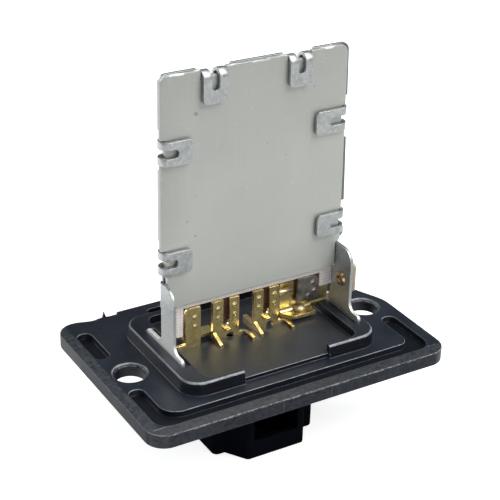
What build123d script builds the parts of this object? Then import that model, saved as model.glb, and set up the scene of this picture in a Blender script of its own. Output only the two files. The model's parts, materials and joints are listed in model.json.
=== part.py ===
from build123d import *
import os

# Frame: X runs from screw hole to screw hole, Y away from the latch side, Z up out of the sealing face.
# The origin lies midway between the two screw holes, on the flat top face of the flange.

# Flange of the moulded base
hole_pitch = 57.0
hole_radius = 3.2
hole_ring_radius = 3.8
hole_ring_depth = 0.45
end_margin_left = 6.5
end_margin_right = 6.0
front_margin = 23.5
back_margin = 23.3
flange_thickness = 3.0
flange_corner_radius = 4.2
leaning_edge_rise = 23.0
leaning_edge_run = 10.5
leaning_edge_radius = 9.0

# Sealing groove in the flange
groove_width = 3.3
groove_depth = 1.4
border_side = 2.6
border_front = 2.9
border_back = 2.2
groove_gap_at_hole = 6.2
groove_end_radius = 1.5
groove_outer_radius = 3.0
groove_inner_radius = 2.4
pocket_back_end = 18.2
back_groove_length = 29.0

# Raised rim and the floor inside it
rim_length = 46.1
rim_front = 14.85
rim_back = 15.8
rim_height = 2.84
rim_corner_radius = 4.6
rim_draft = 8.0
rim_front_wall = 1.5
rim_back_wall = 2.2
rim_edge_chamfer = 0.3
floor_length = 36.0
floor_height = 0.9
floor_corner_radius = 2.0
rim_gap_length = 20.1
floor_sill = 0.8

# Connector shroud under the flange
shroud_offset = -1.6
shroud_length = 24.3
shroud_front = 9.0
shroud_back = 4.2
shroud_depth = 17.0
shroud_wall = 1.4
shroud_corner_radius = 1.3
bay_depth = 4.6
bay_length_front = 13.4
bay_length_back = 19.4
bay_corner_radius = 1.0
window_length = 10.5
window_height = 12.8

# Heat sink: layers from the front to the back
sink_offset = 0.65
sink_front = 0.8
front_plate_thickness = 1.0
insulation_thickness = 0.3
element_thickness = 0.2
back_plate_thickness = 0.7
sink_top = 61.5
sink_bottom = 11.65
sink_corner_radius = 1.7
sink_bottom_radius = 1.0
wide_reach_left = 21.55
wide_reach_right = 20.45
front_plate_flare_right = 0.7
shoulder_left_gap = 1.8
shoulder_right_gap = 0.1
shoulder_radius = 1.2
side_clearance = 0.1
back_plate_overhang_top_right = 1.45
back_plate_overhang_low_right = 2.7
back_plate_inset_left = 0.5
back_plate_inset_top = 0.25

# Tabs folded from the back plate over the front plate
# Each one as (place along its edge, length, stand-off from the edge, relief on its low or left side,
# relief on the other side)
tab_gap = 0.4
tab_side_clearance = 0.1
tab_edge_clearance = 0.25
tab_corner_radius = 0.9
tab_slot_width = 1.75
top_tabs = ((-10.2, 6.65, -0.2, 0.1, 2.0), (9.1, 6.45, -0.2, 0.1, 1.6))
top_tab_width = 5.3
top_tab_slot_end = 2.65
left_tabs = ((22.3, 6.65, 0.15, 1.7, 1.7), (45.95, 6.85, 0.15, 1.7, 1.7))
right_tabs = ((22.5, 7.2, 1.3, 0.2, 1.0), (45.9, 7.85, 0.55, 2.9, 1.4))
side_tab_width = 5.05
side_tab_slot_end = 3.2
relief_past_bend = 0.3

# Insulation sheets and the resistor sheet between the plates
insulation_side_margin = 0.3
insulation_top_margin = 0.3
insulation_drop = 1.4
left_tongue_gap = 0.25
left_tongue_width = 1.65
left_tongue_bottom = 3.7
right_tongue_inset = 0.2
right_tongue_gap = 0.1
right_tongue_bottom = 6.9
track_count = 9
track_slit = 0.6
track_margin = 2.0
tongue_bottom = 4.7

# Ears folded forward from the back plate, each standing on a flared foot
ear_spacing = 40.5
ear_front_left = 3.1
ear_front_right = 5.1
ear_foot_front_left = 6.8
ear_foot_front_right = 8.9
ear_foot_back = 8.6
ear_foot_height = 0.9
ear_height = 17.3
ear_top_radius = 3.2
ear_flare_radius = 1.8
ear_bend_radius = 0.5
lug_width = 4.0
lug_length = 3.4
lug_place = 5.0
slot_width = 1.2
slot_depth = 0.7
slot_end_gap = 0.5

# Rivet and pad on the right ear
rivet_radius = 0.75
rivet_head_radius = 1.65
rivet_head_height = 0.6
rivet_head_edge = 0.25
rivet_dish_radius = 0.9
rivet_dish_depth = 0.35
rivet_tail_radius = 1.4
rivet_tail_height = 0.45
rivet_clearance = 0.05
rivet_y = -1.8
rivet_z = 9.8
pad_thickness = 0.8
pad_front = 5.1
pad_back = 1.6
pad_bottom = 7.6
pad_top = 14.2

# Stamped brass terminals
brass_thickness = 0.8
terminal_top_gap = 0.1
fork_slot_bottom = 3.85
fork_lip = 1.0
weld_radius = 0.75
weld_top_radius = 0.4
weld_height = 0.28
bead_sides = 14
weld_spread = 2.15
weld_drop = 1.75
wing_drop = 1.2
wing_reach_left = 3.1
wing_reach_right = 3.6
wing_top = 1.6
wing_tip_drop = 0.1
wing_jog = 1.2
anchor_hole_radius = 0.85
blade_pitch = 5.0
blade_width = 6.3
blade_front = 5.6
blade_length = 13.0
blade_tip = 1.2
link_depth = 1.7
link_width = 2.4
neck_width = 1.8

terminal_1_left = -15.1
terminal_1_width = 3.6
terminal_1_foot_width = 2.0
terminal_1_foot_height = 0.9
terminal_1_fin = 2.0
terminal_1_fin_height = 2.5
terminal_1_shelf_end = -7.6
terminal_2_left = -8.65
terminal_2_prongs = (2.5, 1.45, 2.35)
terminal_3_left = 1.2
terminal_3_prongs = (2.3, 1.45, 2.45)
shelf_gap = 0.3
shelf_depth = 2.7
shelf_height = 1.9
rear_strip_place = 0.6
rear_strip_width = 0.9
rear_strip_depth = 4.6
terminal_4_left = 8.4
terminal_4_gap = 0.4
terminal_4_top = 9.8
terminal_4_fold = 1.0
tray_front = 0.3
tray_start = 10.3
tray_end = 16.0
tray_lift = 0.8

# Thermal cut-out between terminal 4 and the resistor sheet
leaf_thickness = 0.5
leaf_left = 12.0
leaf_width = 5.7
leaf_bottom = 4.2
leaf_corner_radius = 1.5
leaf_welds = ((4.0, 4.3), (4.4, 2.3), (2.9, 1.4))
solder_width = 1.9
solder_top_width = 1.1
lead_radius = 0.58
lead_length = 3.5
lead_end_chamfer = 0.2
lead_height = 8.1

# Places that follow from the sizes above
flange_left = -hole_pitch / 2 - end_margin_left
flange_right = hole_pitch / 2 + end_margin_right
insulation_front_y = sink_front + front_plate_thickness
element_y = insulation_front_y + insulation_thickness
insulation_rear_y = element_y + element_thickness
back_plate_y = insulation_rear_y + insulation_thickness
back_plate_rear_y = back_plate_y + back_plate_thickness
wide_left = sink_offset - wide_reach_left
wide_right = sink_offset + wide_reach_right
ear_left = sink_offset - ear_spacing / 2
ear_right = sink_offset + ear_spacing / 2
narrow_left = ear_left + side_clearance
narrow_right = ear_right - side_clearance
tab_bend_radius = (back_plate_y - sink_front + tab_gap) / 2
tab_outer_radius = tab_bend_radius + back_plate_thickness
tab_bend_y = back_plate_y - tab_bend_radius
top_bend = sink_top + min(tab[2] for tab in top_tabs) - tab_outer_radius
left_bend = wide_left - min(tab[2] for tab in left_tabs) + tab_outer_radius
right_bend = wide_right + min(tab[2] for tab in right_tabs) - tab_outer_radius
sheet_top = top_bend - insulation_top_margin
sheet_left = max(narrow_left, left_bend) + insulation_side_margin
sheet_right = min(narrow_right, right_bend) - insulation_side_margin
terminal_y = element_y - brass_thickness
terminal_top = sink_bottom - insulation_drop - terminal_top_gap
leaf_y = element_y - leaf_thickness
terminal_2_width = sum(terminal_2_prongs)
terminal_3_width = sum(terminal_3_prongs)
terminal_4_right = ear_right - terminal_4_gap
tray_top = floor_height + tray_lift + brass_thickness


def block(x0, x1, y0, y1, z0, z1):
    """Box between two corners."""
    size = Box(x1 - x0, y1 - y0, z1 - z0, align=(Align.MIN, Align.MIN, Align.MIN))
    return Pos(x0, y0, z0) * size


def rounded(corners):
    """Flat face through (u, v, radius) corners, each corner rounded by its own radius."""
    face = make_face(Polyline(*[(u, v) for u, v, _ in corners], close=True))
    for u, v, radius in corners:
        if radius > 0:
            corner = face.vertices().sort_by_distance((u, v, 0))[0]
            face = fillet(corner, radius)
    return face


def rounded_rectangle(u0, u1, v0, v1, radius):
    """Flat rectangle between two corners with equal corner radii."""
    return rounded([(u0, v0, radius), (u1, v0, radius), (u1, v1, radius), (u0, v1, radius)])


def level(face, z, thickness):
    """Lay a face flat with its underside at height z."""
    return extrude(Pos(0, 0, z) * face, thickness, dir=(0, 0, 1))


def facing(face, y, thickness):
    """Stand a face (u = X, v = Z) with its front at y, its thickness running back."""
    plane = Plane(origin=(0, y, 0), x_dir=(1, 0, 0), z_dir=(0, -1, 0))
    return extrude(plane * face, thickness, dir=(0, 1, 0))


def sideways(face, x, thickness):
    """Stand a face (u = Y, v = Z) with its left side at x, its thickness running right."""
    plane = Plane(origin=(x, 0, 0), x_dir=(0, 1, 0), z_dir=(1, 0, 0))
    return extrude(plane * face, thickness, dir=(1, 0, 0))


def flange_outline():
    """Outline of the flange with its leaning back right edge."""
    radius = flange_corner_radius
    lean_foot = back_margin - leaning_edge_rise
    return rounded([
        (flange_left, -front_margin, radius),
        (flange_right, -front_margin, radius),
        (flange_right, lean_foot, leaning_edge_radius),
        (flange_right - leaning_edge_run, back_margin, leaning_edge_radius),
        (flange_left, back_margin, radius),
    ])


def sealing_grooves():
    """Groove round the front, pocket beside the left hole and groove along the back."""
    left = flange_left + border_side
    right = flange_right - border_side
    front = -front_margin + border_front
    end = -groove_gap_at_hole
    front_groove = rounded([
        (left, end, groove_end_radius),
        (left, front, groove_outer_radius),
        (right, front, groove_outer_radius),
        (right, end, groove_end_radius),
        (right - groove_width, end, groove_end_radius),
        (right - groove_width, front + groove_width, groove_inner_radius),
        (left + groove_width, front + groove_width, groove_inner_radius + groove_end_radius),
        (left + groove_width, end, groove_end_radius),
    ])
    pocket_front = groove_gap_at_hole + 1.0
    pocket = rounded_rectangle(left, left + groove_width, pocket_front, pocket_back_end, groove_end_radius)
    back = back_margin - border_back
    half = back_groove_length / 2
    back_groove = rounded_rectangle(-half, half, back - groove_width, back, groove_end_radius)
    return [level(face, -groove_depth, groove_depth + 1) for face in (front_groove, pocket, back_groove)]


def screw_hole(x):
    """Screw hole with a shallow ring step round its mouth."""
    bore = Pos(x, 0, -flange_thickness / 2) * Cylinder(hole_radius, flange_thickness + 1)
    step = Pos(x, 0, -hole_ring_depth / 2) * Cone(
        hole_ring_radius - hole_ring_depth, hole_ring_radius, hole_ring_depth)
    lip = Pos(x, 0, -hole_ring_depth) * Cylinder(hole_radius + 0.15, 0.3)
    return bore + step + lip


def rim():
    """Raised rim with drafted walls, open at the front, round the recessed floor."""
    half = rim_length / 2
    foot = rounded_rectangle(-half, half, -rim_front, rim_back, rim_corner_radius)
    body = extrude(foot, rim_height, taper=rim_draft)
    top_edges = body.edges().group_by(Axis.Z)[-1]
    body = chamfer(top_edges, rim_edge_chamfer)
    inside = rounded_rectangle(-floor_length / 2, floor_length / 2, -rim_front + rim_front_wall,
                               rim_back - rim_back_wall, floor_corner_radius)
    body -= level(inside, floor_height, rim_height)
    gap = rim_gap_length / 2
    sill = -rim_front + floor_sill
    body -= block(-gap, gap, -rim_front - 1, -rim_front + rim_front_wall + 1, floor_height, rim_height + 1)
    body -= block(-gap, gap, -rim_front - 1, sill, 0, rim_height + 1)
    return body


def shroud():
    """Connector shroud with its latch bay and latch window."""
    centre = shroud_offset
    half = shroud_length / 2
    top = -flange_thickness
    bottom = top - shroud_depth
    outer = rounded_rectangle(centre - half, centre + half, -shroud_front, shroud_back, shroud_corner_radius)
    bay_front = -shroud_front - bay_depth
    bay = rounded([
        (centre - bay_length_back / 2, -shroud_front + 1, 0),
        (centre - bay_length_back / 2, -shroud_front, 0),
        (centre - bay_length_front / 2, bay_front, bay_corner_radius),
        (centre + bay_length_front / 2, bay_front, bay_corner_radius),
        (centre + bay_length_back / 2, -shroud_front, 0),
        (centre + bay_length_back / 2, -shroud_front + 1, 0),
    ])
    body = level(outer, bottom, shroud_depth) + level(bay, bottom, shroud_depth)
    socket = rounded_rectangle(
        centre - half + shroud_wall, centre + half - shroud_wall,
        -shroud_front + shroud_wall, shroud_back - shroud_wall, shroud_corner_radius / 2)
    window = window_length / 2
    body -= level(socket, bottom - 1, shroud_depth + 1)
    body -= block(centre - window, centre + window, bay_front + shroud_wall, -shroud_front + shroud_wall + 1,
                  bottom - 1, top)
    body -= block(centre - window, centre + window, bay_front - 1, bay_front + shroud_wall + 1,
                  top - window_height, top)
    return body


def base():
    """Moulded base: flange, rim and shroud in one piece, before the metal parts are let in."""
    body = level(flange_outline(), -flange_thickness, flange_thickness)
    for groove in sealing_grooves():
        body -= groove
    body += rim()
    body += shroud()
    for x in (-hole_pitch / 2, hole_pitch / 2):
        body -= screw_hole(x)
    feet = [(ear_left, -1, ear_foot_front_left), (ear_right, 1, ear_foot_front_right)]
    for inner, side, foot_front in feet:
        near = min(inner - side * slot_width, inner + side * back_plate_thickness)
        far = max(inner - side * slot_width, inner + side * back_plate_thickness)
        body -= block(near, far, -foot_front - slot_end_gap, ear_foot_back + slot_end_gap,
                      rim_height - slot_depth, rim_height + 1)
    return body


def ear(inner_x, side, front, foot_front):
    """Ear of the back plate: rounded leg on a wide foot, with two lugs that the base holds."""
    outer_x = inner_x + side * back_plate_thickness
    x = min(inner_x, outer_x)
    foot_bottom = rim_height - slot_depth
    foot_top = rim_height + ear_foot_height
    bend_start = back_plate_y - ear_bend_radius
    leg = rounded([
        (-foot_front, foot_bottom, 0),
        (ear_foot_back, foot_bottom, 0),
        (ear_foot_back, foot_top, ear_foot_height),
        (bend_start, foot_top, ear_flare_radius),
        (bend_start, ear_height, 0),
        (-front, ear_height, ear_top_radius),
        (-front, foot_top, ear_flare_radius),
        (-foot_front, foot_top, ear_foot_height),
    ])
    body = sideways(leg, x, back_plate_thickness)
    for y in (-lug_place, lug_place):
        body += block(x, x + back_plate_thickness, y - lug_width / 2, y + lug_width / 2,
                      foot_bottom - lug_length, foot_bottom)
    web_end = inner_x - side * (side_clearance + ear_bend_radius)
    bend = rounded([
        (web_end, back_plate_y, 0),
        (inner_x, back_plate_y, ear_bend_radius),
        (inner_x, bend_start - 1, 0),
        (outer_x, bend_start - 1, 0),
        (outer_x, back_plate_rear_y, ear_bend_radius + back_plate_thickness),
        (web_end, back_plate_rear_y, 0),
    ])
    return body + level(bend, sink_bottom, ear_height - sink_bottom)


def rivet_hole(x0, x1):
    """Hole for the rivet through the right ear and its pad."""
    radius = rivet_radius + rivet_clearance
    return Pos((x0 + x1) / 2, rivet_y, rivet_z) * Rot(0, 90, 0) * Cylinder(radius, x1 - x0 + 1)


def ear_rivet():
    """Copper rivet: rolled head with a dished middle inside the ear, smaller set head outside the pad."""
    grip = back_plate_thickness + pad_thickness
    shank = Pos(ear_right + grip / 2, rivet_y, rivet_z) * Rot(0, 90, 0) * Cylinder(rivet_radius, grip)
    head = Pos(0, 0, rivet_head_height / 2) * Cone(
        rivet_head_radius, rivet_head_radius - rivet_head_edge, rivet_head_height)
    head -= Pos(0, 0, rivet_head_height) * Cone(rivet_dish_radius - rivet_dish_depth,
                                                rivet_dish_radius + rivet_dish_depth, rivet_dish_depth * 2)
    tail = Pos(0, 0, rivet_tail_height / 2) * Cone(
        rivet_tail_radius, rivet_tail_radius - rivet_head_edge, rivet_tail_height)
    inner = Pos(ear_right, rivet_y, rivet_z) * Rot(0, -90, 0) * head
    outer = Pos(ear_right + grip, rivet_y, rivet_z) * Rot(0, 90, 0) * tail
    return shank + inner + outer


def ear_pad():
    """Tan strip held by the rivet on the outer side of the right ear."""
    face = rounded_rectangle(-pad_front, pad_back, pad_bottom, pad_top, pad_thickness)
    x = ear_right + back_plate_thickness
    return sideways(face, x, pad_thickness) - rivet_hole(x, x + pad_thickness)


def plate_outline(left, top_right, low_right, top):
    """Wide plate with a narrower lower part that sits between the ears."""
    left_shoulder = ear_height + shoulder_left_gap
    right_shoulder = ear_height + shoulder_right_gap
    right_radius = min(shoulder_radius, 0.9 * (low_right - narrow_right))
    left_radius = min(shoulder_radius, 0.9 * (narrow_left - left))
    return rounded([
        (narrow_left, sink_bottom, sink_bottom_radius),
        (narrow_right, sink_bottom, sink_bottom_radius),
        (narrow_right, right_shoulder, 0),
        (low_right, right_shoulder, right_radius),
        (top_right, top, sink_corner_radius),
        (left, top, sink_corner_radius),
        (left, left_shoulder, left_radius),
        (narrow_left, left_shoulder, 0),
    ])


def tab_places():
    """Every folded tab as (edge, place, length, stand-off, reliefs, width, end of its slot)."""
    places = []
    for x, length, stand_off, left, right in top_tabs:
        places.append(("top", sink_offset + x, length, stand_off, (left, right),
                       top_tab_width, top_tab_slot_end))
    for z, length, stand_off, low, high in left_tabs:
        places.append(("left", z, length, stand_off, (low, high),
                       side_tab_width, side_tab_slot_end))
    for z, length, stand_off, low, high in right_tabs:
        places.append(("right", z, length, stand_off, (high, low),
                       side_tab_width, side_tab_slot_end))
    return places


def at_edge(side, place, solid):
    """Put a solid made for the edge Z = 0 at X = 0 onto the named edge of the heat sink."""
    if side == "top":
        return Pos(place, 0, sink_top) * solid
    if side == "left":
        return Pos(wide_left, 0, place) * Rot(0, -90, 0) * solid
    return Pos(wide_right, 0, place) * Rot(0, 90, 0) * solid


def folded_tab(length, stand_off, width, slot_end):
    """Hook-shaped tab with a long slot across its fold, made for the edge Z = 0."""
    bend_z = stand_off - tab_outer_radius
    tip = stand_off - length
    root = bend_z - relief_past_bend
    hook = block(-width / 2, width / 2,
                 tab_bend_y - tab_outer_radius, tab_bend_y - tab_bend_radius, tip, bend_z)
    tip_corners = hook.edges().filter_by(Axis.Y).group_by(Axis.Z)[0]
    hook = fillet(tip_corners, tab_corner_radius)
    hook += block(-width / 2, width / 2, back_plate_y, back_plate_rear_y, root, bend_z)
    across = Rot(0, 90, 0)
    bend = across * Cylinder(tab_outer_radius, width) - across * Cylinder(tab_bend_radius, width + 1)
    bend &= block(-width, width, -tab_outer_radius, tab_outer_radius, 0, tab_outer_radius)
    hook += Pos(0, tab_bend_y, bend_z) * bend
    slot_face = rounded_rectangle(-tab_slot_width / 2, tab_slot_width / 2, tip + slot_end, stand_off + 1,
                                  tab_slot_width / 2 - 0.01)
    slot = facing(slot_face, tab_bend_y - tab_outer_radius - 1, tab_outer_radius + 1)
    slot_back = block(-tab_slot_width / 2, tab_slot_width / 2, tab_bend_y - 0.5, back_plate_rear_y + 1,
                      bend_z, stand_off + 1)
    return hook - slot - slot_back


def front_plate():
    """Aluminium front plate, notched where the tabs pass its edges."""
    outline = plate_outline(wide_left, wide_right, wide_right + front_plate_flare_right, sink_top)
    body = facing(outline, sink_front, front_plate_thickness)
    inside = (tab_bend_radius ** 2 - (tab_bend_y - sink_front) ** 2) ** 0.5
    for side, place, _, stand_off, _, width, _ in tab_places():
        half = width / 2 + tab_side_clearance
        notch = tab_outer_radius - stand_off - inside + tab_edge_clearance
        cut = block(-half, half, 0, back_plate_y, -notch, front_plate_flare_right + 1)
        body -= at_edge(side, place, cut)
    return body


def back_plate():
    """Steel back plate with its two ears, its folded tabs and the relief cuts beside them."""
    outline = plate_outline(wide_left + back_plate_inset_left, wide_right + back_plate_overhang_top_right,
                            wide_right + back_plate_overhang_low_right, sink_top - back_plate_inset_top)
    body = facing(outline, back_plate_y, back_plate_thickness)
    for side, place, length, stand_off, (first, last), width, slot_end in tab_places():
        relief = block(-width / 2 - first, width / 2 + last, back_plate_y - 1, back_plate_rear_y + 1,
                       stand_off - tab_outer_radius - relief_past_bend,
                       stand_off + back_plate_overhang_low_right + 1)
        body -= at_edge(side, place, relief)
        body += at_edge(side, place, folded_tab(length, stand_off, width, slot_end))
    body += ear(ear_left, -1, ear_front_left, ear_foot_front_left)
    body += ear(ear_right, 1, ear_front_right, ear_foot_front_right)
    return body - rivet_hole(ear_right, ear_right + back_plate_thickness)


def sheet_outline(bottom, tongues):
    """Sheet between the plates, with (left, right, bottom) tongues that hang below it."""
    face = Pos((sheet_left + sheet_right) / 2, (bottom + sheet_top) / 2) * Rectangle(
        sheet_right - sheet_left, sheet_top - bottom)
    for tongue_left, tongue_right, end in tongues:
        face += rounded([(tongue_left, end, 0.4), (tongue_right, end, 0.4),
                         (tongue_right, bottom + 1, 0), (tongue_left, bottom + 1, 0)])
    return face


def front_insulation():
    """Woven insulation behind the front plate, with tongues outside terminal 1 and the leaf."""
    left_end = terminal_1_left - left_tongue_gap
    right_start = leaf_left + leaf_width + right_tongue_gap
    tongues = [(left_end - left_tongue_width, left_end, left_tongue_bottom),
               (right_start, narrow_right - right_tongue_inset, right_tongue_bottom)]
    outline = sheet_outline(sink_bottom - insulation_drop, tongues)
    return facing(outline, insulation_front_y, insulation_thickness)


def rear_insulation():
    """Woven insulation in front of the back plate."""
    return facing(sheet_outline(sink_bottom - insulation_drop, ()), insulation_rear_y, insulation_thickness)


def resistor_element():
    """Resistor sheet: one long track folded to and fro by slits, with a tongue at each terminal."""
    tongues = [
        (terminal_1_left + brass_thickness + 0.2, terminal_1_left + terminal_1_width, tongue_bottom),
        (terminal_2_left, terminal_2_left + terminal_2_width, tongue_bottom),
        (terminal_3_left, terminal_3_left + terminal_3_width, tongue_bottom),
        (leaf_left, leaf_left + leaf_width, tongue_bottom),
    ]
    body = facing(sheet_outline(sink_bottom, tongues), element_y, element_thickness)
    bottom = sink_bottom + track_margin
    pitch = (sheet_top - bottom) / (track_count + 1)
    for track in range(track_count):
        z = bottom + pitch * (track + 1)
        open_left = track % 2 == 0
        x0 = sheet_left - 1 if open_left else sheet_left + track_margin
        x1 = sheet_right - track_margin if open_left else sheet_right + 1
        body -= block(x0, x1, element_y - 1, element_y + 1, z - track_slit / 2, z + track_slit / 2)
    return body


def bead(foot_radius, top_radius, height):
    """Small many-sided bead that stands on the plane Z = 0."""
    foot = RegularPolygon(foot_radius, bead_sides)
    top = Pos(0, 0, height) * RegularPolygon(top_radius, bead_sides)
    return loft([foot, top])


def weld_point(x, z, y):
    """Raised weld point on the front of a terminal."""
    return Pos(x, y, z) * Rot(90, 0, 0) * bead(weld_radius, weld_top_radius, weld_height)


def blade(number):
    """Connector blade number 0 to 3, standing edge to edge along Y in the socket."""
    x = shroud_offset + (number - 1.5) * blade_pitch
    back = -blade_front + blade_width
    bottom = -flange_thickness - blade_length
    face = rounded([(-blade_front, -link_depth, 0), (-blade_front, bottom + blade_tip, 0),
                    (-blade_front + blade_tip, bottom, 0), (back - blade_tip, bottom, 0),
                    (back, bottom + blade_tip, 0), (back, -link_depth, 0)])
    return sideways(face, x - brass_thickness / 2, brass_thickness)


def link(number, neck_left, neck_right):
    """Hidden strip in the moulding from a terminal's neck to its blade."""
    x = shroud_offset + (number - 1.5) * blade_pitch
    left = min(neck_left, x - brass_thickness / 2)
    right = max(neck_right, x + brass_thickness / 2)
    z0 = -link_depth
    z1 = z0 + brass_thickness
    neck = block(neck_left, neck_right, terminal_y, terminal_y + brass_thickness, z0, floor_height)
    forward = block(neck_left, neck_right, -link_width, terminal_y + brass_thickness, z0, z1)
    across = block(left, right, -link_width, 0, z0, z1)
    return neck + forward + across


def fork_terminal(left, prongs, number):
    """Brass terminal: slotted fork, two side wings, anchor hole, rear shelf and blade."""
    first, slot, last = prongs
    width = first + slot + last
    right = left + width
    upright = rounded([(left, -brass_thickness, 0), (right, -brass_thickness, 0),
                       (right, terminal_top, 0.3), (left, terminal_top, 0.3)])
    body = facing(upright, terminal_y, brass_thickness)
    slot_left = left + first
    slot_face = rounded([
        (slot_left, fork_slot_bottom, slot / 2.2),
        (slot_left + slot, fork_slot_bottom, slot / 2.2),
        (slot_left + slot, terminal_top + 1, 0),
        (slot_left, terminal_top + 1, 0),
    ])
    body -= facing(slot_face, terminal_y - 1, brass_thickness + 2)
    anchor_x = left + width * 0.66
    anchor = Pos(anchor_x, terminal_y, floor_height + 0.3) * Rot(90, 0, 0) * Cylinder(anchor_hole_radius, 3)
    body -= anchor
    lip = block(slot_left + 0.1, slot_left + slot - 0.1, terminal_y - fork_lip, terminal_y,
                fork_slot_bottom - brass_thickness, fork_slot_bottom - brass_thickness / 2)
    body += lip
    wing_foot = -brass_thickness / 2
    left_wing = make_face(Polyline((terminal_y, wing_foot), (terminal_y - wing_reach_left, wing_foot),
                                   (terminal_y - wing_reach_left, wing_top - wing_tip_drop),
                                   (terminal_y, wing_top + wing_drop), close=True))
    body += sideways(left_wing, left, brass_thickness)
    right_wing = rounded([
        (right - 0.1, terminal_y, 0),
        (right + wing_jog, terminal_y, wing_jog * 0.8),
        (right + wing_jog, terminal_y - wing_reach_right, 0),
        (right + wing_jog + brass_thickness, terminal_y - wing_reach_right, 0),
        (right + wing_jog + brass_thickness, terminal_y + brass_thickness, wing_jog * 0.8 + brass_thickness),
        (right - 0.1, terminal_y + brass_thickness, 0),
    ])
    body += level(right_wing, wing_foot, wing_top - wing_foot)
    for x in (left + first / 2, right - last / 2):
        for z in (terminal_top - weld_drop, terminal_top - weld_drop - weld_spread):
            body += weld_point(x, z, terminal_y)
    neck_left = left + 0.5 if number == 2 else left + width / 2
    body += link(number, neck_left, neck_left + neck_width) + blade(number)
    return body


def terminal_1():
    """Left brass terminal: single tab with a folded fin, a foot and a shelf that runs behind terminal 2."""
    left = terminal_1_left
    right = left + terminal_1_width
    foot_left = left - terminal_1_foot_width
    foot_top = floor_height + terminal_1_foot_height
    outline = rounded([(foot_left, floor_height, 0), (right, floor_height, 0), (right, terminal_top, 0.4),
                       (left, terminal_top, 1.3), (left, foot_top, 0), (foot_left, foot_top, 0.4)])
    body = facing(outline, terminal_y, brass_thickness)
    rear = terminal_y + brass_thickness
    fin_bottom = floor_height + terminal_1_fin_height
    body += block(left, left + brass_thickness, rear, rear + terminal_1_fin, fin_bottom, terminal_top - 1.3)
    body += block(left, terminal_1_shelf_end, rear + shelf_gap, rear + shelf_gap + shelf_depth,
                  shelf_height, shelf_height + brass_thickness)
    body += block(left, right, rear, rear + 1, shelf_height, shelf_height + brass_thickness)
    for z in (terminal_top - weld_drop - 0.5, terminal_top - weld_drop - 0.5 - weld_spread):
        body += weld_point(left + terminal_1_width * 0.6, z, terminal_y)
    neck_left = right - neck_width - 0.2
    return body + link(0, neck_left, neck_left + neck_width) + blade(0)


def terminal_2():
    """Second brass terminal."""
    return fork_terminal(terminal_2_left, terminal_2_prongs, 1)


def terminal_3():
    """Third brass terminal, with a strip that runs back along the floor behind its fork."""
    body = fork_terminal(terminal_3_left, terminal_3_prongs, 2)
    rear = terminal_y + brass_thickness
    left = terminal_3_left + rear_strip_place
    return body + block(left, left + rear_strip_width, rear, rear + rear_strip_depth,
                        floor_height, floor_height + brass_thickness)


def terminal_4():
    """Right brass terminal: back plate folded forward into the tray of the cut-out."""
    fold = terminal_4_fold
    rear = back_plate_y + brass_thickness
    tray_bottom = tray_top - brass_thickness
    section = rounded([
        (-tray_front, tray_bottom, 0),
        (rear, tray_bottom, fold + brass_thickness),
        (rear, terminal_4_top, 0),
        (back_plate_y, terminal_4_top, 0),
        (back_plate_y, tray_top, fold),
        (-tray_front, tray_top, 0),
    ])
    body = sideways(section, terminal_4_left, terminal_4_right - terminal_4_left)
    keep = rounded([
        (terminal_4_left, rear + 1, 0),
        (terminal_4_left, back_plate_y - 0.2, 0),
        (tray_start, -tray_front, 1.6),
        (tray_end, -tray_front, 0),
        (tray_end, back_plate_y - 0.2, 0),
        (terminal_4_right, back_plate_y - 0.2, 0),
        (terminal_4_right, rear + 1, 0),
    ])
    body &= level(keep, tray_bottom, terminal_4_top)
    neck_left = tray_start + 0.4
    body += block(neck_left, neck_left + neck_width, terminal_y, terminal_y + brass_thickness,
                  -link_depth, tray_bottom)
    return body + link(3, neck_left, neck_left + neck_width) + blade(3)


def fuse_leaf():
    """Steel leaf of the thermal cut-out, welded to the resistor sheet."""
    right = leaf_left + leaf_width
    outline = rounded([
        (leaf_left, leaf_bottom, 0.3),
        (right, leaf_bottom, 0.3),
        (right - 0.3, terminal_top, leaf_corner_radius),
        (leaf_left + 0.3, terminal_top, 0.3),
    ])
    body = facing(outline, leaf_y, leaf_thickness)
    for x, z in leaf_welds:
        body += weld_point(leaf_left + x, leaf_bottom + z, leaf_y)
    return body


def fuse_solder():
    """Solder bead that holds the leaf down on the tray."""
    x = leaf_left + solder_width / 2
    y = leaf_y + leaf_thickness / 2 - 0.2
    return Pos(x, y, tray_top) * bead(solder_width / 2, solder_top_width / 2, leaf_bottom - tray_top)


def fuse_lead():
    """Short round lead on the right edge of terminal 3."""
    x = terminal_3_left + terminal_3_width + lead_length / 2
    rod = Rot(0, 90, 0) * Cylinder(lead_radius, lead_length)
    end = rod.edges().filter_by(GeomType.CIRCLE).sort_by(Axis.X)[-1]
    rod = chamfer(end, lead_end_chamfer)
    return Pos(x, terminal_y + brass_thickness / 2, lead_height) * rod


parts = {
    "front_plate": front_plate(),
    "back_plate": back_plate(),
    "front_insulation": front_insulation(),
    "rear_insulation": rear_insulation(),
    "resistor_element": resistor_element(),
    "ear_rivet": ear_rivet(),
    "ear_pad": ear_pad(),
    "terminal_1": terminal_1(),
    "terminal_2": terminal_2(),
    "terminal_3": terminal_3(),
    "terminal_4": terminal_4(),
    "fuse_leaf": fuse_leaf(),
    "fuse_solder": fuse_solder(),
    "fuse_lead": fuse_lead(),
}

# The moulding flows round the terminals and the lugs of the ears
moulding = base()
for name in ("terminal_1", "terminal_2", "terminal_3", "terminal_4", "back_plate"):
    moulding -= parts[name]
parts["base"] = moulding
parts["fuse_solder"] -= parts["terminal_4"]

os.makedirs("parts", exist_ok=True)
for name, solid in parts.items():
    export_step(solid, "parts/" + name + ".step")
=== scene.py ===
# %% [markdown]
# # A blower motor resistor, dressed for the camera
#
# This lesson starts from a finished engineering model: a black moulded base, an upright stack of
# thin plates that gets hot in use, four brass terminals and the small parts of a thermal cut-out.
# The shapes are right already, so the work here is what makes them look real: soft edges, a
# finish for each material, the marks of tools and handling, and plain studio light.

# %% Load the frame
import json
import math
import random

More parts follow.
